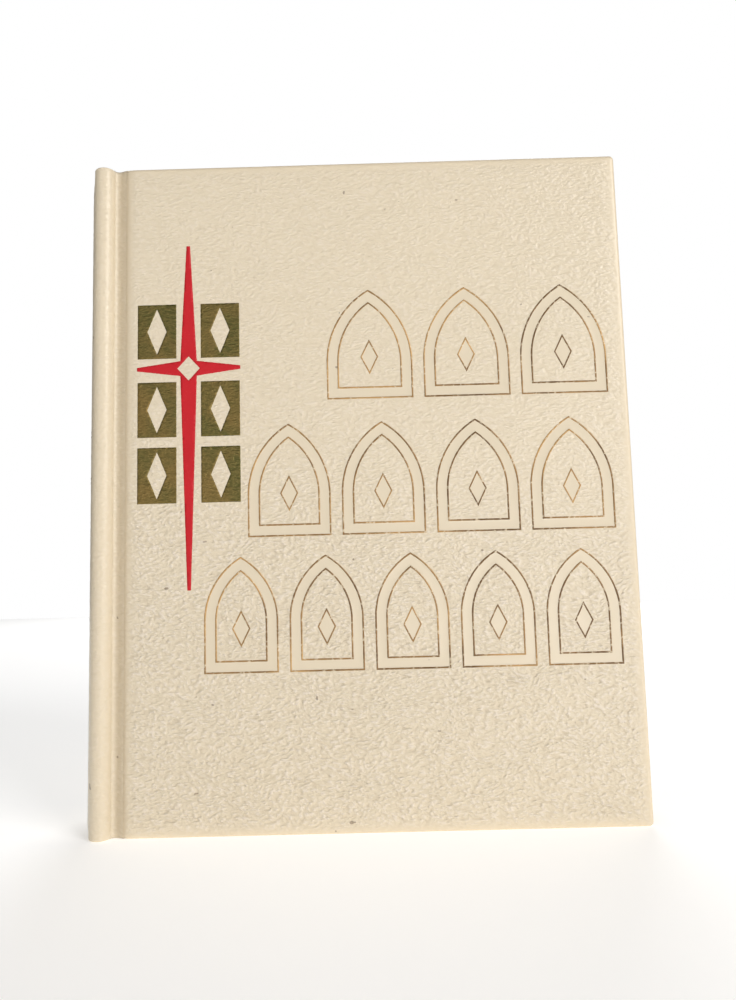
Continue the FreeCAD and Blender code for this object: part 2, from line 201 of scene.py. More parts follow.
class Shade:
    """A material being made: its nodes, and short ways of joining them."""

    def __init__(self, name):
        self.material = bpy.data.materials.new(name)
        self.material.use_nodes = True
        self.nodes, self.links = self.material.node_tree.nodes, self.material.node_tree.links
        self.shader = self.nodes["Principled BSDF"]
        self.place = self.add("ShaderNodeTexCoord").outputs["Object"]
        self.plain = self.stretched((1, 1, 1))

    def add(self, kind, **settings):
        return add(self.nodes, kind, **settings)

    def feed(self, socket, value):
        """Links an output to a socket, or sets the socket to a number or a colour."""
        if isinstance(value, bpy.types.NodeSocket):
            self.links.new(value, socket)
        else:
            socket.default_value = (*value, 1) if isinstance(value, tuple) else value

    def stretched(self, scale, degrees=0, place=None):
        """Object coordinates turned about Y and scaled, for a pattern sized in metres."""
        mapping = self.add("ShaderNodeMapping", Rotation=(0, math.radians(degrees), 0), Scale=scale)
        self.links.new(self.place if place is None else place, mapping.inputs["Vector"])
        return mapping.outputs["Vector"]

    def ramp(self, source, low, high, dark=(0, 0, 0), light=(1, 1, 1)):
        """A colour that goes from dark to light as the source goes from low to high."""
        node = self.add("ShaderNodeValToRGB")
        for element, position, color in zip(node.color_ramp.elements, (low, high), (dark, light)):
            element.position = position
            element.color = (*color, 1)
        self.links.new(source, node.inputs["Fac"])
        return node.outputs["Color"]

    def calc(self, operation, first, second):
        node = self.add("ShaderNodeMath", operation=operation)
        self.feed(node.inputs[0], first)
        self.feed(node.inputs[1], second)
        return node.outputs["Value"]

    def scaled(self, value, factor, base=None):
        """The value times a factor, on top of a base if there is one."""
        product = self.calc("MULTIPLY", value, factor)
        return product if base is None else self.calc("ADD", base, product)

    def mixed(self, share, first, second, blend="MIX"):
        node = self.add("ShaderNodeMix", data_type="RGBA", blend_type=blend)
        self.feed(node.inputs["Factor"], share)
        self.feed(node.inputs[6], first)
        self.feed(node.inputs[7], second)
        return node.outputs[2]

    def noise(self, vector, scale, detail=2.0, roughness=0.5):
        node = self.add("ShaderNodeTexNoise", Scale=scale, Detail=detail, Roughness=roughness)
        self.links.new(vector, node.inputs["Vector"])
        return node.outputs["Fac"]

    def wandering(self, scale, degrees, reach):
        """Coordinates bent by a slow noise, turned and stretched, so that a pattern flows."""
        slow = self.add("ShaderNodeTexNoise", Scale=38, Detail=2)
        self.links.new(self.plain, slow.inputs["Vector"])
        bent = self.add("ShaderNodeVectorMath", operation="MULTIPLY_ADD")
        bent.inputs[1].default_value = (reach, reach, reach)
        self.links.new(slow.outputs["Color"], bent.inputs[0])
        self.links.new(self.plain, bent.inputs[2])
        return self.stretched(scale, degrees, bent.outputs["Vector"])

    def ridged(self, vector, scale):
        """Noise folded at its middle into thin raised wrinkles, 0 to 1."""
        fold = self.calc("SUBTRACT", self.noise(vector, scale, 2, 0.55), 0.5)
        fold = self.scaled(self.calc("ABSOLUTE", fold, 0.0), 5.0)
        return self.calc("SUBTRACT", 1.0, self.calc("MINIMUM", fold, 1.0))

    def surface(self, tone, roughness, height, distance, strength, **levels):
        """Joins colour, roughness and bump to the shader; its other sockets are set by name."""
        relief = self.add("ShaderNodeBump", Distance=distance)
        self.feed(relief.inputs["Strength"], strength)
        self.links.new(height, relief.inputs["Height"])
        self.feed(self.shader.inputs["Base Color"], tone)
        self.feed(self.shader.inputs["Roughness"], roughness)
        self.links.new(relief.outputs["Normal"], self.shader.inputs["Normal"])
        for name, level in levels.items():
            self.shader.inputs[name.replace("_", " ")].default_value = level
        return self.material


def tinted(color, factor):
    return tuple(min(c * factor, 1) for c in color)


IVORY = (0.785, 0.680, 0.510)
IVORY_WARM = (0.830, 0.700, 0.500)
# painted highlight tone for the grain's crests, and painted shade tone for its hollows
CREST_HIGHLIGHT = (0.90, 0.805, 0.700)
HOLLOW_SHADE = (0.91, 0.885, 0.86)
SPECK_BROWN = (0.20, 0.13, 0.08)
# painted shade, with some grime, for the joint groove and the hinge edge
GROOVE_SHADE_AND_GRIME_TONE = (0.80, 0.775, 0.735)


def leatherette(name):
    """Ivory embossed leatherette: glossy wrinkled grain, faint mottling, warm worn edges, painted
    shade in the grain's hollows, painted highlights on its crests, and painted shade with some grime
    in the joint groove and at the hinge edge.
    """
    m = Shade(name)
    flow = m.wandering((1.0, 1.0, 1.7), 35, 0.007)
    cross_flow = m.wandering((1.0, 1.0, 1.7), 12, 0.009)
    grain, wear, groove_shade_and_grime = (m.add("ShaderNodeAttribute", attribute_name=which).outputs["Fac"]
                         for which in ("grain", "wear", "groove_shade_and_grime"))

    pebble = m.add("ShaderNodeTexVoronoi", feature="SMOOTH_F1", Scale=500, Smoothness=0.8)
    m.links.new(cross_flow, pebble.inputs["Vector"])
    height = m.calc("SUBTRACT", m.scaled(m.ridged(flow, 250), 0.45),
                    m.scaled(pebble.outputs["Distance"], 1.1))
    height = m.calc("ADD", m.calc("ADD", height, m.noise(flow, 640, 1)), 0.35)

    tone = m.mixed(m.noise(m.plain, 22, 3), tinted(IVORY, 0.97), tinted(IVORY, 1.02))
    tone = m.mixed(m.scaled(wear, 0.55), tone, IVORY_WARM)
    # painted shade: the grain's hollows are darkened in the colour
    painted_hollow_shade = m.ramp(height, 0.15, 0.55, HOLLOW_SHADE)
    tone = m.mixed(m.scaled(grain, 0.7), tone, painted_hollow_shade, "MULTIPLY")
    # painted highlight: the grain's crests are paled towards a highlight tone
    painted_crest_highlight = m.calc("MULTIPLY", m.ramp(height, 0.70, 0.95), grain)
    tone = m.mixed(m.scaled(painted_crest_highlight, 0.5), tone, CREST_HIGHLIGHT)
    specks = m.ramp(m.noise(m.plain, 300, 0), 0.868, 0.878)
    tone = m.mixed(m.scaled(specks, 0.6), tone, SPECK_BROWN)
    # painted shade, with some grime: darker in the joint groove and at the cover's hinge edge
    tone = m.mixed(groove_shade_and_grime, tone, GROOVE_SHADE_AND_GRIME_TONE, "MULTIPLY")
    return m.surface(tone, m.scaled(m.noise(m.plain, 300, 1), 0.14, 0.27), height, 0.00050, grain,
                     Specular_IOR_Level=0.5)


def gold_foil():
    """Old gold foil: olive gold over the leatherette's grain, with painted highlights on its raised
    wrinkles.
    """
    m = Shade("foil_gold")
    flow = m.wandering((1.0, 1.0, 2.4), 40, 0.007)
    cloud = m.noise(m.plain, 42, 3, 0.6)
    wrinkles = m.ridged(flow, 260)
    tone = m.mixed(m.ramp(cloud, 0.38, 0.62), (0.135, 0.122, 0.034), (0.235, 0.160, 0.048))
    # painted highlight: the raised wrinkles of the foil are coloured brighter
    tone = m.mixed(m.scaled(m.ramp(wrinkles, 0.55, 0.95), 0.22), tone, (0.42, 0.28, 0.095))
    flecks = m.ramp(m.noise(flow, 900, 2, 0.6), 0.56, 0.68)
    tone = m.mixed(m.scaled(flecks, 0.30), tone, (0.50, 0.36, 0.14))
    height = m.scaled(m.noise(flow, 700, 2, 0.6), 1.2, wrinkles)
    return m.surface(tone, m.scaled(cloud, 0.22, 0.30), height, 0.00022, 0.9, Metallic=0.75)


def line_foil():
    """The narrow lines of gold, brown where thin, unevenly struck over the grain."""
    m = Shade("foil_gold_lines")
    worn = m.ramp(m.noise(m.plain, 26, 3, 0.6), 0.40, 0.64,
                  (0.17, 0.095, 0.035), (0.60, 0.36, 0.14))
    breaks = m.ramp(m.noise(m.plain, 650, 2, 0.6), 0.56, 0.66)
    tone = m.mixed(m.scaled(breaks, 0.75), worn, IVORY_WARM)
    return m.surface(tone, 0.36, m.noise(m.plain, 1600, 2), 0.00005, 0.6, Metallic=0.35)


def red_foil():
    """Red pigment foil, satin, slightly thin over the tops of the grain."""
    m = Shade("foil_red")
    aslant = m.stretched((1.0, 1.0, 3.0), 38)
    cloud = m.noise(m.plain, 70, 3)
    tone = m.mixed(cloud, (0.530, 0.006, 0.013), (0.640, 0.012, 0.022))
    flecks = m.ramp(m.noise(aslant, 1000, 2, 0.6), 0.66, 0.80)
    tone = m.mixed(m.scaled(flecks, 0.35), tone, (0.80, 0.20, 0.16))
    return m.surface(tone, m.scaled(cloud, 0.15, 0.36), m.noise(aslant, 1100, 3, 0.6), 0.00010, 0.7,
                     Specular_IOR_Level=0.35)


def paper(name, color, fibre=0.03):
    """Book paper: faint cloudy tone and short fibres."""
    m = Shade(name)
    cloud = m.noise(m.plain, 35, 4)
    tone = m.mixed(cloud, tinted(color, 1 - fibre), tinted(color, 1 + fibre))
    fibres = m.ramp(m.noise(m.stretched((1, 1, 0.25), 15), 1500, 2), 0.66, 0.72)
    tone = m.mixed(m.scaled(fibres, 0.25), tone, tinted(color, 0.8))
    return m.surface(tone, m.scaled(cloud, 0.15, 0.72), m.noise(m.plain, 1800, 3), 0.00002, 0.5,
                     Specular_IOR_Level=0.3)


def gilt_edge():
    """Gilded page edges: burnished gold broken by the fine lines of the pages."""
    m = Shade("gilt_edge")
    lines = m.noise(m.stretched((0.0015, 1, 0.0015)), 7000, 2, 0.7)
    tone = m.mixed(m.noise(m.plain, 40, 3), (0.62, 0.40, 0.13), (0.78, 0.55, 0.22))
    tone = m.mixed(0.8, tone, m.ramp(lines, 0.36, 0.52, (0.55, 0.48, 0.38)), "MULTIPLY")
    return m.surface(tone, m.scaled(lines, 0.22, 0.24), lines, 0.00006, 0.6, Metallic=0.9)


def cloth(name, color, second, threads, weave=True):
    """Woven thread, gauze or sewing cotton, with its threads as bump and tone."""
    m = Shade(name)
    wave = m.add("ShaderNodeTexWave", wave_type="BANDS", bands_direction="Z", Scale=threads,
                 Distortion=1.5, Detail=2)
    m.links.new(m.plain, wave.inputs["Vector"])
    pattern = wave.outputs["Fac"]
    if weave:
        cross = m.add("ShaderNodeTexWave", wave_type="BANDS", bands_direction="Y", Scale=threads,
                      Distortion=1.5)
        m.links.new(m.plain, cross.inputs["Vector"])
        pattern = m.calc("MAXIMUM", pattern, cross.outputs["Fac"])
    return m.surface(m.mixed(pattern, color, second), 0.85, pattern, 0.0001, 0.8, Sheen_Weight=0.2)


def board(name, color):
    """Grey board or card: speckled pulp."""
    m = Shade(name)
    specks = m.noise(m.plain, 1400, 3, 0.7)
    tone = m.mixed(specks, tinted(color, 0.82), tinted(color, 1.15))
    return m.surface(tone, 0.9, specks, 0.00008, 0.7)


COVER_LEATHER = leatherette("leatherette")
GOLD = gold_foil()
GOLD_LINES = line_foil()
RED = red_foil()
ENDPAPER = paper("endpaper", (0.80, 0.72, 0.56))
TEXT_PAPER = paper("text_paper", (0.86, 0.80, 0.67), 0.02)
GILT = gilt_edge()
GAUZE = cloth("gauze", (0.55, 0.50, 0.40), (0.85, 0.80, 0.70), 500)
THREAD = cloth("thread", (0.60, 0.55, 0.45), (0.86, 0.82, 0.72), 900, weave=False)
GREY_BOARD = board("grey_board", (0.36, 0.34, 0.30))
KRAFT = board("kraft_paper", (0.42, 0.28, 0.15))
BAND_PALE = cloth("band_pale", (0.62, 0.54, 0.38), (0.85, 0.78, 0.60), 1600, weave=False)
BAND_RED = cloth("band_red", (0.22, 0.01, 0.02), (0.45, 0.03, 0.04), 1600, weave=False)


# ------------------------------------------------------------------- ornament on the cover
# the stamps of the design, in metres on the front cover
HAIRLINE = 0.6 * MM
ARCH_STEM = 5.4 * MM
ARCH_GAP = 5.0 * MM
ARCH_HIGH = 50.0 * MM
ROW_MARGIN = 9.0 * MM
ARCH_ROWS = ((3, 125.0 * MM, 187.0 * MM), (4, 161.0 * MM, 126.5 * MM), (5, 180.5 * MM, 68.0 * MM))
BOSS_HEIGHT, BOSS_HALF_WIDE, BOSS_HALF_HIGH = 19.0 * MM, 4.0 * MM, 8.0 * MM
TILE_WIDE, TILE_HIGH, TILE_ASIDE = 17.4 * MM, 25.0 * MM, 14.2 * MM
TILE_ROWS = (220.2 * MM, 184.4 * MM, 154.8 * MM)
CUTOUT_HALF = (4.3 * MM, 10.5 * MM)
CROSS_TIP = 0.8 * MM
CROSS_HOLE = (5.0 * MM, 5.5 * MM)
cross_low, cross_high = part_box("cross_stamp")
CROSS_X = (cross_low.x + cross_high.x) / 2
CROSS_ARM = (cross_high.x - cross_low.x) / 2
CROSS_Z = 203.0 * MM
CROSS_LIMBS = (((1, 0), CROSS_ARM, 3.4 * MM), ((0, 1), cross_high.z - CROSS_Z, 3.7 * MM),
               ((-1, 0), CROSS_ARM, 3.4 * MM), ((0, -1), CROSS_Z - cross_low.z, 3.7 * MM))
DEBOSS = 0.12 * MM
STAMP_DEPTH = 0.10 * MM


def arches():
    """Left, right, base and top of every arch."""
    found = []
    for count, row_width, base in ARCH_ROWS:
        pitch = (row_width + ARCH_GAP) / count
        for place in range(count):
            right = FORE_X - ROW_MARGIN - place * pitch
            found.append((right - pitch + ARCH_GAP, right, base, base + ARCH_HIGH))
    return found


def spring_of(arch):
    """Height at which an arch's two arcs start, and their radius."""
    left, right, _, top = arch
    radius = right - left
    return top - math.sqrt(radius ** 2 - (radius / 2) ** 2), radius


def arch_field(x, z, arch, inset):
    """How far inside an arch's outline each place is, and which way is further inside."""
    left, right, base, _ = arch
    spring, radius = spring_of(arch)
    rise = np.maximum(z - spring, 0)
    fields = [(z - base - inset, np.zeros_like(x), np.ones_like(x))]
    for centre in (left, right):
        span = np.maximum(np.hypot(x - centre, rise), 1e-9)
        fields.append((radius - inset - span, (centre - x) / span, -rise / span))
    depth, in_x, in_z = fields[0]
    for other, other_x, other_z in fields[1:]:
        nearer = other < depth
        depth = np.where(nearer, other, depth)
        in_x, in_z = np.where(nearer, other_x, in_x), np.where(nearer, other_z, in_z)
    return depth, in_x, in_z


def arch_rail(arch, inset):
    """Points along a whole arch's outline; rails at different insets pair up one to one."""
    left, right, base, _ = arch
    spring, radius = spring_of(arch)
    reach = radius - inset
    end = math.acos(radius / 2 / reach)
    low, high = (left + inset, base + inset), (right - inset, base + inset)
    rail = [(low[0] + (high[0] - low[0]) * i / 30, low[1]) for i in range(30)]
    rail += [(high[0], high[1] + (spring - high[1]) * i / 24) for i in range(24)]
    rail += [(left + reach * math.cos(end * i / 36), spring + reach * math.sin(end * i / 36))
             for i in range(36)]
    rail += [(right - reach * math.cos(end * i / 36), spring + reach * math.sin(end * i / 36))
             for i in range(36, 0, -1)]
    rail += [(low[0], low[1] + (spring - low[1]) * i / 24) for i in range(24, 0, -1)]
    return rail


def lozenge(x, z, half_wide, half_high):
    return [(x - half_wide, z), (x, z - half_high), (x + half_wide, z), (x, z + half_high)]


def rectangle(x, z, half_wide, half_high):
    return [(x - half_wide, z - half_high), (x + half_wide, z - half_high),
            (x + half_wide, z + half_high), (x - half_wide, z + half_high)]


def cross_outline():
    outline = []
    for (along, length, half), (aside, _, next_half) in zip(
            CROSS_LIMBS, CROSS_LIMBS[1:] + CROSS_LIMBS[:1]):
        end = (CROSS_X + along[0] * length, CROSS_Z + along[1] * length)
        outline += [(end[0] - aside[0] * CROSS_TIP, end[1] - aside[1] * CROSS_TIP),
                    (end[0] + aside[0] * CROSS_TIP, end[1] + aside[1] * CROSS_TIP),
                    (CROSS_X + along[0] * next_half + aside[0] * half,
                     CROSS_Z + along[1] * next_half + aside[1] * half)]
    return outline


TILES = [(CROSS_X + way * TILE_ASIDE, z) for z in TILE_ROWS for way in (-1, 1)]
TILE_SHAPES = [[rectangle(x, z, TILE_WIDE / 2, TILE_HIGH / 2), lozenge(x, z, *CUTOUT_HALF)]
               for x, z in TILES]
CROSS_SHAPE = [cross_outline(), lozenge(CROSS_X, CROSS_Z, *CROSS_HOLE)]


def outline_field(x, z, outlines):
    """Signed distance to closed outlines on arrays of places, positive inside (even-odd)."""
    nearest = np.full(x.shape, 1.0)
    inside = np.zeros(x.shape, bool)
    for outline in outlines:
        for (ax, az), (bx, bz) in zip(outline, outline[1:] + outline[:1]):
            length = (bx - ax) ** 2 + (bz - az) ** 2
            share = np.clip(((x - ax) * (bx - ax) + (z - az) * (bz - az)) / length, 0, 1)
            nearest = np.minimum(nearest, np.hypot(x - ax - share * (bx - ax),
                                                   z - az - share * (bz - az)))
            if az != bz:
                crosses = (az > z) != (bz > z)
                inside ^= crosses & (x < ax + (z - az) * (bx - ax) / (bz - az))
    return np.where(inside, nearest, -nearest)


# -------------------------------------------------------------------------- covers of the case
CELL = 1.0 * MM
EDGE_ROUND = 2.0 * MM
INNER_ROUND = 0.9 * MM
COVER_THICK = COVER_FACE - COVER_INSIDE


def edge_profile():
    """Outward reach, drop below the face and turn of each ring round a cover, face first."""
    wall = COVER_THICK - INNER_ROUND
    rings = [(EDGE_ROUND * math.sin(t), EDGE_ROUND * (1 - math.cos(t)), t)
             for t in (math.pi / 2 * i / 6 for i in range(1, 7))]
    rings.append((EDGE_ROUND, (EDGE_ROUND + wall) / 2, math.pi / 2))
    rings += [(EDGE_ROUND - INNER_ROUND * (1 - math.cos(t)), wall + INNER_ROUND * math.sin(t),
               math.pi / 2) for t in (math.pi / 2 * i / 3 for i in range(4))]
    rings += [(EDGE_ROUND - INNER_ROUND - inset * MM, COVER_THICK, math.pi / 2)
              for inset in (3, 8, 16)]
    return np.array([(0, 0, 0)] + rings)


def cover_relief(x, z, side, grain):
    """How far the cover's face stands out (+) or in (-) at a place, in metres."""
    seed = 11 if side == FRONT else 51
    relief = creases(x, z, seed) * grain + swell(x, z, seed)
    edge = np.minimum(np.minimum(x - HINGE_X, FORE_X - x), np.minimum(z, HEAD_Z - z))
    relief = relief * (0.3 + 0.7 * smoothstep(1.5 * MM, 8 * MM, edge)) - 0.10 * MM
    relief -= 0.22 * MM * (1 - smoothstep(0, 8 * MM, edge))
    relief -= 0.70 * MM * (1 - smoothstep(0, 5 * MM, x - HINGE_X))
    return relief


def pressed(x, z):
    """Depth to which the dies press the front cover, and how much grain they leave."""
    depth, grain = np.zeros_like(x), np.ones_like(x)
    for arch in arches():
        outer = arch_field(x, z, arch, HAIRLINE / 2)[0]
        inner = arch_field(x, z, arch, ARCH_STEM - HAIRLINE / 2)[0]
        band = (outer > 0.05 * MM) & (inner < -0.05 * MM)
        depth = np.where(band, DEBOSS, depth)
        grain = np.where((outer > -0.05 * MM) & (inner < 0.05 * MM), 0.0, grain)
        left, right, base, _ = arch
        boss = outline_field(x, z, [lozenge((left + right) / 2, base + BOSS_HEIGHT,
                                            BOSS_HALF_WIDE, BOSS_HALF_HIGH)])
        depth = np.where(boss > 0, DEBOSS * 0.6, depth)
        grain = np.where(boss > -0.3 * MM, 0.0, grain)
    for outlines in TILE_SHAPES + [CROSS_SHAPE]:
        stamped = smoothstep(-0.9 * MM, 0.1 * MM, outline_field(x, z, outlines))
        depth = np.maximum(depth, STAMP_DEPTH * stamped)
        grain = np.minimum(grain, 1 - 0.7 * stamped)
    return depth, grain


def snap_to_arches(x, z):
    """Moves the grid's nearest vertices onto the lines of the arches."""
    for arch in arches():
        left, right, _, _ = arch
        spring, radius = spring_of(arch)
        for inset in (HAIRLINE / 2, ARCH_STEM - HAIRLINE / 2):
            depth, in_x, in_z = arch_field(x, z, arch, inset)
            near = np.abs(depth) < 0.5 * CELL
            x, z = np.where(near, x - depth * in_x, x), np.where(near, z - depth * in_z, z)
            apex = spring + math.sqrt((radius - inset) ** 2 - (radius / 2) ** 2)
            for corner_x, corner_z in ((left + inset, arch[2] + inset),
                                       (right - inset, arch[2] + inset),
                                       ((left + right) / 2, apex)):
                at = np.argmin(np.hypot(x - corner_x, z - corner_z))
                x.flat[at], z.flat[at] = corner_x, corner_z
    return x, z


def cover_case(name, side):
    """One cover: leatherette drawn round the board's edges and corners, face to inside."""
    profile = edge_profile()
    rings = len(profile) - 1
    wide = round((FORE_X - HINGE_X - 2 * EDGE_ROUND) / CELL)
    high = round((HEAD_Z - 2 * EDGE_ROUND) / CELL)
    face_x = np.linspace(HINGE_X + EDGE_ROUND, FORE_X - EDGE_ROUND, wide + 1)
    face_z = np.linspace(EDGE_ROUND, HEAD_Z - EDGE_ROUND, high + 1)
    columns, rows = np.arange(-rings, wide + 1 + rings), np.arange(-rings, high + 1 + rings)
    base_x, base_z = np.meshgrid(face_x[np.clip(columns, 0, wide)],
                                 face_z[np.clip(rows, 0, high)])
    past_x, past_z = np.meshgrid(columns - np.clip(columns, 0, wide),
                                 rows - np.clip(rows, 0, high))
    if side == FRONT:
        inner = (slice(rings, rings + high + 1), slice(rings, rings + wide + 1))
        base_x[inner], base_z[inner] = snap_to_arches(base_x[inner].copy(), base_z[inner].copy())
    ring = np.maximum(abs(past_x), abs(past_z))
    nearly = np.minimum(abs(past_x), abs(past_z)) / np.maximum(ring, 1) * math.pi / 4
    turned = np.where(abs(past_x) >= abs(past_z), nearly, math.pi / 2 - nearly)
    out, drop, bend = (profile[ring, i] for i in range(3))
    over = out > 0
    x = np.where(over, base_x + out * np.sign(past_x) * np.cos(turned),
                 np.clip(base_x, face_x[0] - out, face_x[-1] + out))
    z = np.where(over, base_z + out * np.sign(past_z) * np.sin(turned),
                 np.clip(base_z, face_z[0] - out, face_z[-1] + out))
    x, z = np.where(ring == 0, base_x, x), np.where(ring == 0, base_z, z)
    edge = np.minimum(np.minimum(x - HINGE_X, FORE_X - x), np.minimum(z, HEAD_Z - z))
    grain = 0.25 + 0.75 * smoothstep(1.0 * MM, 6 * MM, edge)
    depth = np.zeros_like(x)
    if side == FRONT:
        depth, kept = pressed(x, z)
        grain = grain * kept * (0.50 + 0.50 * (1 - smoothstep(95 * MM, 200 * MM, z + 0.15 * x)))
    else:
        grain = grain * 0.65
    relief = cover_relief(x, z, side, grain) - depth * (ring == 0)
    deep = COVER_FACE - drop + relief * np.cos(bend)
    vertices = np.stack([x.ravel(), side * deep.ravel(), z.ravel()], 1)
    middle = [[(HINGE_X + FORE_X) / 2, side * COVER_INSIDE, HEAD_Z / 2]]
    faces = grid_faces(*x.shape) + [(a, b, x.size) for a, b in rim_pairs(*x.shape)]
    piece = make_object(name, np.concatenate([vertices, middle]), faces, [COVER_LEATHER])
    set_attribute(piece, "grain", np.append(grain.ravel(), 1))
    set_attribute(piece, "wear", np.append(1 - smoothstep(0, 5 * MM, edge.ravel()), 0))
    # painted shade, with some grime, darkening the cover towards its hinge edge
    set_attribute(piece, "groove_shade_and_grime", np.append(
        0.8 * (1 - smoothstep(0, 3.0 * MM, x.ravel() - HINGE_X)), 0))
    return outward(piece)


covers = {}
for side, label in ((FRONT, "front"), (BACK, "back")):
    case = cover_case(label + "_cover_case", side)
    covers[side] = case
    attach(case, label + "_cover")
    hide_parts(label + "_cover_skin", label + "_board")


# ----------------------------------------------------------------------------------- foil
front_mesh = covers[FRONT].data
front_tree = BVHTree.FromPolygons([v.co for v in front_mesh.vertices],
                                  [p.vertices for p in front_mesh.polygons])


def face_at(x, z):
    """The y of the front cover's face at a place."""
    return front_tree.ray_cast(Vector((x, -60 * MM, z)), Vector((0, 1, 0)))[0].y


FILM_SKIRT = 0.05 * MM


def foil_shell(name, places, faces, material, lift=0.045 * MM):
    """A closed film of foil that follows the front cover's face."""
    depth = [face_at(x, z) for x, z in places]
    vertices = [(x, y + offset, z) for offset in (-lift, FILM_SKIRT)
                for (x, z), y in zip(places, depth)]
    piece = make_object(name, vertices, film_faces(faces, len(places)), [material])
    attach(outward(piece), "front_cover")
    return piece


FOIL_STEP = 0.9 * MM


def finely(outline, step, wander, seed):
    """An outline cut into short runs, each place a hair off the true line as foil breaks."""
    draw = random.Random(seed)
    points = []
    for (ax, az), (bx, bz) in zip(outline, outline[1:] + outline[:1]):
        length = math.hypot(bx - ax, bz - az)
        count = max(1, round(length / step))
        for i in range(count):
            share = i / count
            aside = draw.uniform(-wander, wander) if i else 0
            points.append((ax + (bx - ax) * share - (bz - az) / length * aside,
                           az + (bz - az) * share + (bx - ax) / length * aside))
    return points


def filled(outlines, seed):
    """Triangles filling closed outlines, holes left open, as (places, faces)."""
    places, edges = [], []
    for number, outline in enumerate(outlines):
        loop = finely(outline, 0.6 * MM, 0.05 * MM, seed + number)
        edges += [(len(places) + i, len(places) + (i + 1) % len(loop)) for i in range(len(loop))]
        places += loop
    xs, zs = [p[0] for p in places], [p[1] for p in places]
    grid_x, grid_z = np.meshgrid(np.arange(min(xs), max(xs), FOIL_STEP),
                                 np.arange(min(zs), max(zs), FOIL_STEP))
    inside = outline_field(grid_x, grid_z, outlines) > 0.35 * FOIL_STEP
    places += list(zip(grid_x[inside], grid_z[inside]))
    result = delaunay_2d_cdt([Vector(p) for p in places], edges, [], 0, 1e-9)
    corners = np.array([v[:] for v in result[0]])
    triangles = np.array([face for face in result[2] if len(face) == 3])
    centre = corners[triangles].mean(1)
    kept = outline_field(centre[:, 0], centre[:, 1], outlines) > 0
    return corners, triangles[kept]


def joined(patches):
    """Several (places, faces) as one."""
    places, faces = [], []
    for some_places, some_faces in patches:
        base = len(places)
        places += [tuple(p) for p in some_places]
        faces += [tuple(int(i) + base for i in face) for face in some_faces]
    return places, faces


def ribbon(rails):
    """(places, faces) of a closed line drawn between rails that pair up."""
    count = len(rails[0])
    places = [p for rail in rails for p in rail]
    faces = [(r * count + i, r * count + (i + 1) % count,
              (r + 1) * count + (i + 1) % count, (r + 1) * count + i)
             for r in range(len(rails) - 1) for i in range(count)]
    return places, faces


tiles = foil_shell("foil_tiles", *joined([filled(shape, 10 * n)
                                          for n, shape in enumerate(TILE_SHAPES)]), GOLD)
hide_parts("tile_stamps")
cross = foil_shell("foil_cross", *joined([filled(CROSS_SHAPE, 100)]), RED, lift=0.055 * MM)
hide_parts("cross_stamp")

lines = []
draw_width = random.Random(7)
for arch in arches():
    for first in (0, ARCH_STEM - HAIRLINE):
        middle = [arch_rail(arch, first + share * HAIRLINE) for share in (0, 0.5, 1)]
        widths = [draw_width.uniform(1.0, 1.35) for _ in middle[0]]
        rails = [[(m[0] + (p[0] - m[0]) * w, m[1] + (p[1] - m[1]) * w)
                  for p, m, w in zip(rail, middle[1], widths)] for rail in middle]
        lines.append(ribbon(rails))
    mid_x, mid_z = (arch[0] + arch[1]) / 2, arch[2] + BOSS_HEIGHT
    slant = HAIRLINE * math.hypot(BOSS_HALF_WIDE, BOSS_HALF_HIGH) / BOSS_HALF_WIDE
    lines.append(ribbon([finely(lozenge(mid_x, mid_z, BOSS_HALF_WIDE * s, BOSS_HALF_HIGH * s),
                                10 * MM, 0, 0)
                         for s in (1, 1 - slant / BOSS_HALF_HIGH / 2, 1 - slant / BOSS_HALF_HIGH)]))
hairlines = foil_shell("foil_hairlines", *joined(lines), GOLD_LINES)
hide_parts("ornament_stamps")


# ------------------------------------------------------------------------ spine of the case
def arc(centre_x, centre_y, radius, start, end, count):
    turns = np.linspace(start, end, count)
    return np.stack([centre_x + radius * np.cos(turns), centre_y + radius * np.sin(turns),
                     np.cos(turns), np.sin(turns)], 1)


def spine_contour():
    """Places and outward directions round the spine, front lip to back lip."""
    lean = math.pi - SHOULDER_LEAN
    shoulder = arc(SHOULDER_X, SHOULDER_DEPTH, SHOULDER_RADIUS, lean, SHOULDER_SWEEP, 19)
    back = arc(BACK_CENTRE_X, 0, BACK_RADIUS, -lean, -lean - 2 * SHOULDER_LEAN, 67)
    front = shoulder[::-1] * (1, -1, 1, -1)
    return np.concatenate([front[:-1], back[:-1], shoulder])


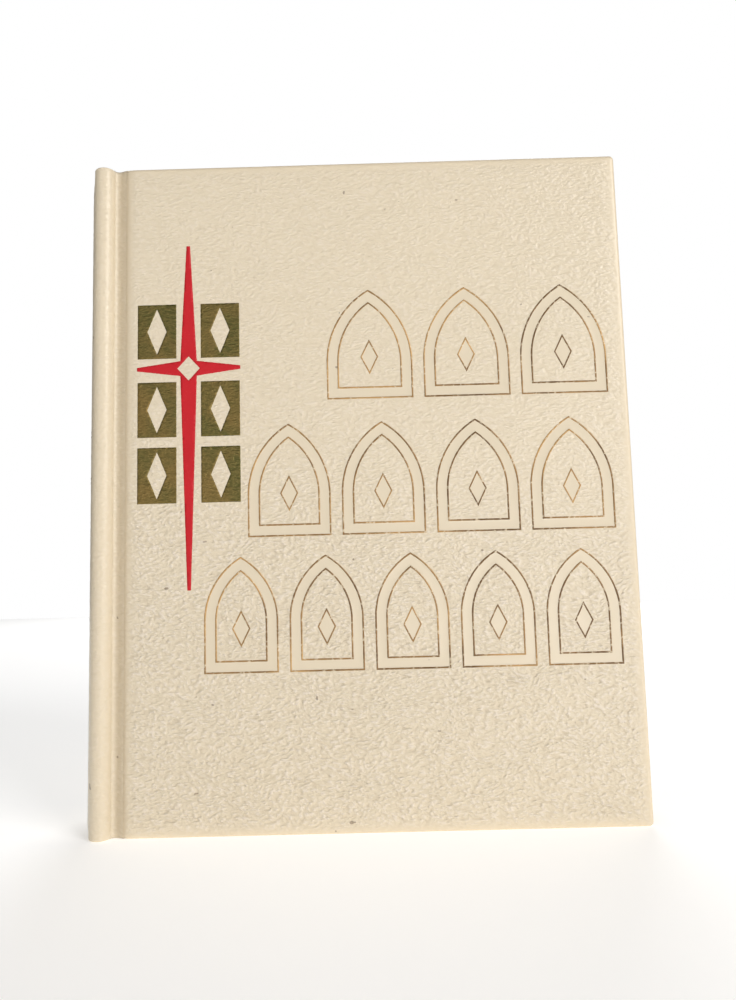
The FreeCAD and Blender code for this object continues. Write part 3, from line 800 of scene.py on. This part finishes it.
def spine_case():
    """The rounded back and its two shoulders, rounded over at head and tail and tucked in."""
    contour = spine_contour()
    along = np.concatenate([[0], np.cumsum(np.hypot(*np.diff(contour[:, :2], axis=0).T))])
    half = SHELL_THICK / 2
    round_turns = np.linspace(math.pi / 2, 0, 6)[:-1]
    heights = [half * (1 - math.sin(t)) for t in round_turns]
    pull = [half * (1 - math.cos(t)) for t in round_turns]
    middle = np.arange(half, HEAD_Z - half + 0.5 * MM, 1.05 * MM)
    middle = np.linspace(half, HEAD_Z - half, len(middle))
    z = np.concatenate([heights, middle, [HEAD_Z - h for h in reversed(heights)]])
    pull = np.concatenate([pull, np.zeros(len(middle)), pull[::-1]])
    on_back = smoothstep(0, 5 * MM, BACK_RADIUS * (SHOULDER_LEAN - np.abs(np.arctan2(
        contour[:, 1], BACK_CENTRE_X - contour[:, 0]))))
    tuck = 2.3 * MM * smoothstep(HEAD_Z - 8 * MM, HEAD_Z + 2 * MM, z)
    tuck += 1.0 * MM * (1 - smoothstep(-2 * MM, 6 * MM, z))
    grid_z, grid_s = np.meshgrid(z, along, indexing="ij")
    relief = creases(grid_s, grid_z, 31) * (0.25 + 0.75 * on_back)
    outer = -pull[:, None] - tuck[:, None] * on_back + relief * (pull[:, None] == 0)
    inner = -SHELL_THICK + pull[:, None] - tuck[:, None] * on_back
    closed = folded(*(np.stack([contour[:, 0] + depth * contour[:, 2],
                                contour[:, 1] + depth * contour[:, 3], grid_z], 2)
                      for depth in (outer, inner)))
    rows, columns = closed.shape[:2]
    faces = grid_faces(rows, columns)
    card = [1 if len(contour) < face[0] % columns < columns - 3
            and 15 * MM < z[face[0] // columns] < HEAD_Z - 15 * MM else 0 for face in faces]
    piece = make_object("spine_case", closed.reshape(-1, 3), faces, [COVER_LEATHER, KRAFT],
                        indices=card)
    for name, level in (("grain", 0.25 + 0.35 * on_back), ("wear", 0.5 * (1 - on_back))):
        inside = np.zeros(columns - len(contour))
        set_attribute(piece, name, np.tile(np.concatenate([level, inside]), rows))
    outward(piece)
    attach(piece, "book_block")
    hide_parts("spine_skin", "spine_card")
    return piece


spine = spine_case()
MARK_Z, MARK_HALF_WIDE, MARK_HALF_HIGH, MARK_PITCH = 164.5 * MM, 4.6 * MM, 6.5 * MM, 16.5 * MM
RULE_HALF_LONG, RULE_HALF, RULE_GAPS = 24.5 * MM, 0.4 * MM, (9.5 * MM, 11.5 * MM)


def spine_stamps():
    """Three gold lozenges side by side across the rounded back, between pairs of rules."""
    shapes = [lozenge(way * MARK_PITCH, MARK_Z, MARK_HALF_WIDE, MARK_HALF_HIGH)
              for way in (-1, 0, 1)]
    shapes += [rectangle(0, MARK_Z + way * gap, RULE_HALF_LONG, RULE_HALF)
               for way in (-1, 1) for gap in RULE_GAPS]
    places, faces = joined([filled([shape], 500 + n) for n, shape in enumerate(shapes)])
    tree = BVHTree.FromPolygons([v.co for v in spine.data.vertices],
                                [p.vertices for p in spine.data.polygons])
    vertices = []
    for lift in (FILM_SKIRT, -FILM_SKIRT):
        for s, z in places:
            angle = s / BACK_RADIUS
            way = Vector((-math.cos(angle), math.sin(angle), 0))
            start = Vector((BACK_CENTRE_X, 0, z)) + way * 90 * MM
            vertices.append(tree.ray_cast(start, -way)[0] + way * lift)
    piece = outward(make_object("spine_foil", vertices, film_faces(faces, len(places)), [GOLD]))
    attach(piece, "book_block")
    return piece


spine_stamps()


# ------------------------------------------------------------ strips along the joints
def spread(points, step):
    """A polyline cut into runs of about one step."""
    found = []
    for (ax, ad), (bx, bd) in zip(points, points[1:]):
        count = max(1, round(math.hypot(bx - ax, bd - ad) / step))
        found += [(ax + (bx - ax) * i / count, ad + (bd - ad) * i / count) for i in range(count)]
    return found + [points[-1]]


def strip(name, side, path, thick, low_z, high_z, material, relief=None, rows=120):
    """A thin closed sheet over a path of (x, distance from the middle) in mm, at every height."""
    path = np.array(spread([(x * MM, d * MM) for x, d in path], 0.35 * MM))
    tangent = np.gradient(path, axis=0)
    tangent /= np.hypot(*tangent.T)[:, None]
    out = np.stack([-tangent[:, 1], tangent[:, 0]], 1)
    z = np.linspace(low_z, high_z, rows)
    layers = []
    for depth in (0, -thick):
        face = np.repeat(path[None] + out[None] * depth, rows, 0)
        if relief is not None and depth == 0:
            face = face + out[None] * relief(path[None, :, 0], z[:, None])[..., None]
        layers.append(np.concatenate([face, np.repeat(z[:, None, None], len(path), 1)], 2))
    closed = folded(*layers)
    count, half = closed.shape[1], len(path)
    faces = grid_faces(rows, count)
    for base in (0, (rows - 1) * count):
        faces += [(base + i, base + i + 1, base + 2 * half - 2 - i, base + 2 * half - 1 - i)
                  for i in range(half - 1)]
    return make_object(name, closed.reshape(-1, 3) * (1, side, 1), faces, [material])


JOINT_PATH = [(-107.60, 26.90), (-107.30, 26.10), (-106.90, 25.60), (-106.30, 25.26),
              (-105.60, 25.10), (-104.90, 25.18), (-104.20, 25.42), (-103.50, 25.74),
              (-102.80, 26.02), (-102.10, 26.22), (-101.50, 26.34), (-101.10, 26.30)]
HINGE_PATH = [(-108.00, 25.25), (-107.00, 24.55), (-106.00, 23.98), (-105.00, 23.78),
              (-103.60, 23.72), (-102.10, 23.72), (-100.50, 23.74)]


for side, label in ((FRONT, "front"), (BACK, "back")):
    joint_skin = strip(label + "_joint_leather", side, JOINT_PATH, 0.55 * MM,
                       0.25 * MM, HEAD_Z - 0.25 * MM, COVER_LEATHER,
                       relief=lambda x, z: creases(x, z, 71) * 0.3, rows=280)
    set_attribute(joint_skin, "grain", [0.35] * len(joint_skin.data.vertices))
    across = np.array([v.co.x for v in joint_skin.data.vertices])
    # painted shade, with some grime, from the bottom of the joint groove up its board-side wall
    set_attribute(joint_skin, "groove_shade_and_grime", 0.85 * smoothstep(-107.2 * MM, -105.4 * MM, across))
    outward(joint_skin)
    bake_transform(joint_skin)
    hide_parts(label + "_joint_skin")

    hinge = outward(strip(label + "_endpaper_fold", side, HINGE_PATH, 0.14 * MM,
                          page_low.z, page_high.z, ENDPAPER))
    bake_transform(hinge)
    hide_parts(label + "_endpaper_hinge")


# ------------------------------------------------------------------ pastedowns and leaves
def pastedown(side, label):
    """Endpaper glued inside the cover, with the edges of the turned-in leatherette under it."""
    low, high = pastedown_low, pastedown_high
    xs = np.arange(low.x, high.x, 1.3 * MM)
    zs = np.arange(low.z, high.z, 1.3 * MM)
    xs, zs = np.linspace(low.x, high.x, len(xs)), np.linspace(low.z, high.z, len(zs))
    x, z = np.meshgrid(xs, zs)
    edge = np.minimum(high.x - x, np.minimum(z - low.z, high.z - z))
    turn_in = 0.10 * MM * (1 - smoothstep(10.5 * MM, 12.0 * MM, edge))
    mull = 0.05 * MM * (1 - smoothstep(25 * MM, 27 * MM, x - low.x))
    wave = 0.02 * MM * lattice_noise(x / (18 * MM), z / (25 * MM), 90 + side)
    face = COVER_INSIDE - 0.06 * MM - turn_in - mull + wave
    glued = np.full(x.shape, COVER_INSIDE + 0.02 * MM)
    vertices, sheets, edges = slab(x, z, side, (face, glued))
    piece = outward(make_object(label + "_pastedown_sheet", vertices, sheets + edges, [ENDPAPER]))
    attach(piece, label + "_cover")
    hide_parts(label + "_pastedown")
    return piece


KNEE_X = -104.25 * MM
KNEE_DEPTH = 22.4 * MM
SHOULDER_SLOPE = 0.65
LEAF_HALF = 0.05 * MM


def leaf(name, node, side, material, seed):
    """One leaf: a thin sheet with a faint wave, gilt at its three open edges."""
    low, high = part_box(node)
    depth = (abs(low.y) + abs(high.y)) / 2
    root = KNEE_X - (depth - KNEE_DEPTH) / SHOULDER_SLOPE
    xs = np.concatenate([np.linspace(root, -97 * MM, 28)[:-1], np.linspace(-97 * MM, high.x, 60)])
    zs = np.linspace(low.z, high.z, 60)
    x, z = np.meshgrid(xs, zs)
    free = smoothstep(-95 * MM, 60 * MM, x)
    wave = 0.035 * MM * lattice_noise(x / (60 * MM) + 9, z / (80 * MM) + 9, seed) * free
    depths = [depth + wave + half for half in (LEAF_HALF, -LEAF_HALF)]
    vertices, sheets, edges = slab(x, z, side, depths)
    piece = make_object(name, vertices, sheets + edges, [material, GILT],
                        indices=[0] * len(sheets) + [1] * len(edges))
    outward(piece)
    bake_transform(piece)
    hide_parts(node)
    return piece


for side, label, count in ((FRONT, "front", 3), (BACK, "back", 2)):
    pastedown(side, label)
    leaf(label + "_flyleaf_paper", label + "_flyleaf", side, ENDPAPER,
         200 + side)
    for number in range(1, count + 1):
        leaf(f"{label}_page_{number}", f"{label}_leaf_{number}", side,
             TEXT_PAPER, 210 + 10 * side + number)


# ------------------------------------------------------------------------------ text block
SIGNATURES = 16
SHEETS = 7
FOLD_RADIUS = 57.95 * MM
FOLD_DEPTH = 28.4 * MM


def fold_at(share):
    angle = share * math.asin(FOLD_DEPTH / FOLD_RADIUS)
    return (BACK_CENTRE_X - FOLD_RADIUS * math.cos(angle), FOLD_RADIUS * math.sin(angle))


def gathering(number):
    """One signature as its folded sheets, each ending a hair off its neighbours at the edges."""
    draw = random.Random(300 + number)
    outermost = math.dist(fold_at(1), (KNEE_X, KNEE_DEPTH))
    vertices, faces, indices = [], [], []
    for sheet in range(SHEETS):
        shares = [2 * (number + (sheet + part) / SHEETS) / SIGNATURES - 1 for part in (0.04, 0.96)]
        depths = [share * KNEE_DEPTH for share in shares]
        folds = [fold_at(share) for share in shares]
        ends = [page_high.x - math.dist(fold, (KNEE_X, depth)) + outermost
                for fold, depth in zip(folds, depths)]
        short = draw.uniform(0, 0.18) * MM
        low = page_low.z + draw.uniform(0, 0.10) * MM
        high = page_high.z - draw.uniform(0, 0.10) * MM
        half_paths = [[(x, depth) for x in (end - short, 60 * MM, 0, -60 * MM, KNEE_X)] + [fold]
                      for end, depth, fold in zip(ends, depths, folds)]
        path = half_paths[0] + half_paths[1][::-1]
        base, size = len(vertices), len(path)
        vertices += [(x, y, low) for x, y in path] + [(x, y, high) for x, y in path]
        for i in range(size):
            j = (i + 1) % size
            faces.append((base + i, base + j, base + size + j, base + size + i))
            indices.append(1 if i == size - 1 else 0)
        for i in range(size // 2 - 1):
            k = size - 1 - i
            faces.append((base + i, base + k, base + k - 1, base + i + 1))
            faces.append((base + size + i, base + size + i + 1, base + size + k - 1, base + size + k))
            indices += [1, 1]
    name = f"gathering_{number + 1:02d}"
    piece = outward(make_object(name, vertices, faces, [TEXT_PAPER, GILT], False, indices))
    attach(piece, "book_block")
    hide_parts(f"signature_{number + 1:02d}")
    return piece


for number in range(SIGNATURES):
    gathering(number)


# ------------------------------------------------------------------------ head and tail bands
def band(name, node, core_z):
    """A worked band: a bead wound with stripes of thread along the rounded back."""
    radius, half_angle, pitch, around = 57.6 * MM, math.radians(24), 0.5 * MM, 12
    length = 2 * radius * half_angle
    turns = int(length / pitch)
    steps = turns * 4
    vertices, faces, indices = [], [], []
    for step in range(steps + 1):
        angle = -half_angle + 2 * half_angle * step / steps
        wound = 1 + 0.10 * abs(math.sin(math.pi * step / 4))
        for k in range(around):
            t = 2 * math.pi * k / around
            reach = radius + 1.0 * MM * wound * math.cos(t)
            vertices.append((BACK_CENTRE_X - reach * math.cos(angle), reach * math.sin(angle),
                             core_z + 1.15 * MM * wound * math.sin(t)))
    for step in range(steps):
        for k in range(around):
            a, b = step * around + k, step * around + (k + 1) % around
            faces.append((a, b, b + around, a + around))
            indices.append(1 if step // 4 % 6 < 3 else 0)
    faces += [tuple(range(around)), tuple(reversed(range(steps * around, (steps + 1) * around)))]
    indices += [0, 0]
    piece = outward(make_object(name, vertices, faces, [BAND_PALE, BAND_RED], indices=indices))
    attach(piece, "book_block")
    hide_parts(node)
    return piece


band("head_band_wound", "head_band", 295.3 * MM)
band("tail_band_wound", "tail_band", 2.7 * MM)


# ------------------------------------------------- design parts that keep their own shape
for node_name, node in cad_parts.items():
    if node.hide_render:
        continue
    if "mull" in node_name:
        material = GAUZE
    elif node_name == "spine_lining":
        material = KRAFT
    elif "thread" in node_name:
        material = THREAD
    else:
        material = GREY_BOARD
    node.data.materials.clear()
    node.data.materials.append(material)


# ------------------------------------------------------------------ camera, light and floor
def rotation(axis, degrees):
    return Matrix.Rotation(math.radians(degrees), 3, axis)


camera = bpy.data.objects.new("camera", bpy.data.cameras.new("camera"))
bpy.context.scene.collection.objects.link(camera)
right, ahead, above = rotation("Z", -0.336) @ rotation("Y", -1.543) @ rotation("X", -5.881)
camera.matrix_world = Matrix((right, above, -ahead)).transposed().to_4x4()
camera.location = (7.65 * MM, -368.9 * MM, 106.3 * MM)
camera.data.sensor_width = 36
camera.data.lens = 28.08
camera.data.clip_start = 0.01
bpy.context.scene.camera = camera


def softbox(name, place, target, width, height, power, color):
    light = bpy.data.objects.new(name, bpy.data.lights.new(name, "AREA"))
    light.data.shape = "RECTANGLE"
    light.data.size, light.data.size_y = width, height
    light.data.energy, light.data.color = power, color
    light.location = place
    toward = Vector(target) - Vector(place)
    light.rotation_euler = toward.to_track_quat("-Z", "Y").to_euler()
    bpy.context.scene.collection.objects.link(light)


softbox("key", (2.2, -2.2, 1.5), (0, 0, 0.15), 1.5, 1.5, 56.0, (1.0, 0.985, 0.965))
softbox("fill", (-0.6, -1.5, 0.9), (0, 0, 0.15), 1.4, 1.4, 3.4, (1.0, 0.99, 0.97))
softbox("low", (0.20, -0.62, 0.06), (0.05, 0, 0.06), 0.26, 0.05, 0.42, (1.0, 0.955, 0.955))
softbox("behind", (0.3, 2.6, 1.7), (0, 0, 0.15), 1.8, 1.8, 46.0, (1.0, 0.99, 0.97))

world = bpy.data.worlds.new("studio")
bpy.context.scene.world = world
world.use_nodes = True
nodes, links = world.node_tree.nodes, world.node_tree.links
nodes.clear()
seen = add(nodes, "ShaderNodeBackground", Strength=1.0)
lit = add(nodes, "ShaderNodeBackground", Strength=0.13)
choose = add(nodes, "ShaderNodeMixShader")
links.new(add(nodes, "ShaderNodeLightPath").outputs["Is Camera Ray"], choose.inputs[0])
links.new(lit.outputs[0], choose.inputs[1])
links.new(seen.outputs[0], choose.inputs[2])
links.new(choose.outputs[0], add(nodes, "ShaderNodeOutputWorld").inputs[0])
for background in (seen, lit):
    background.inputs["Color"].default_value = (1, 1, 1, 1)

FLOOR_HALF = 2.5
FLOOR_COUNT = 24
ticks = np.linspace(-FLOOR_HALF, FLOOR_HALF, FLOOR_COUNT)
floor_x, floor_y = np.meshgrid(ticks, ticks)
floor = make_object("floor", np.stack([floor_x.ravel(), floor_y.ravel(), floor_x.ravel() * 0], 1),
                    grid_faces(FLOOR_COUNT, FLOOR_COUNT), [])
paint = Shade("floor_paper")
for name, value in (("Base Color", paint.mixed(paint.noise(paint.plain, 3, 2), (0.93, 0.93, 0.93),
                                               (0.96, 0.96, 0.96))),
                    ("Roughness", 0.9), ("Emission Color", (1, 1, 1)), ("Emission Strength", 0.42)):
    paint.feed(paint.shader.inputs[name], value)
floor.data.materials.append(paint.material)

view = bpy.context.scene.view_settings
view.view_transform, view.look, view.exposure = "Standard", "None", 0.0
